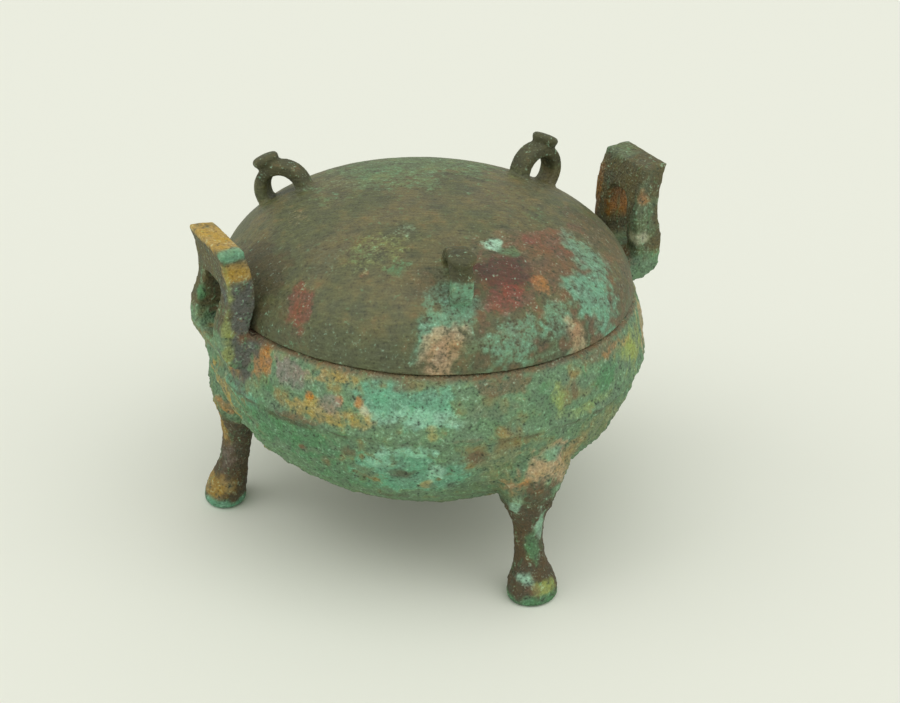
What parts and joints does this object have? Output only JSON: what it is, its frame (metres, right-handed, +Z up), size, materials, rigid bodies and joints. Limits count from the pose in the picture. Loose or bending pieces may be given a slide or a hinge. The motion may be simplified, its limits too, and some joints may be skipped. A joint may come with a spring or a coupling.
{
  "type": "lidded bronze ding vessel",
  "caption": "Squat round tripod food vessel with upright pierced ears, a bowstring rib and a loose domed lid with knobbed strap loops; corroded cast bronze.",
  "frame": {"origin": "on the ground under the feet, midway between the outer faces of the two ears", "axes": "+Z up, along the axis of the bowl; +X points at the taller ear, which stands further out; -Y points at the front, where one leg stands"},
  "size_m": [0.2104, 0.1921, 0.162],
  "materials": {
    "vessel_bronze": "cast bronze under a rough, granular turquoise and malachite-green patina with ochre earth and dark brown areas",
    "lid_bronze": "cast bronze with a smooth olive-brown patina, fine scratches, red cuprite patches and small green spots"
  },
  "bodies": {
    "root": {"vessel": "vessel_bronze", "lid": "lid_bronze"}
  },
  "joints": []
}
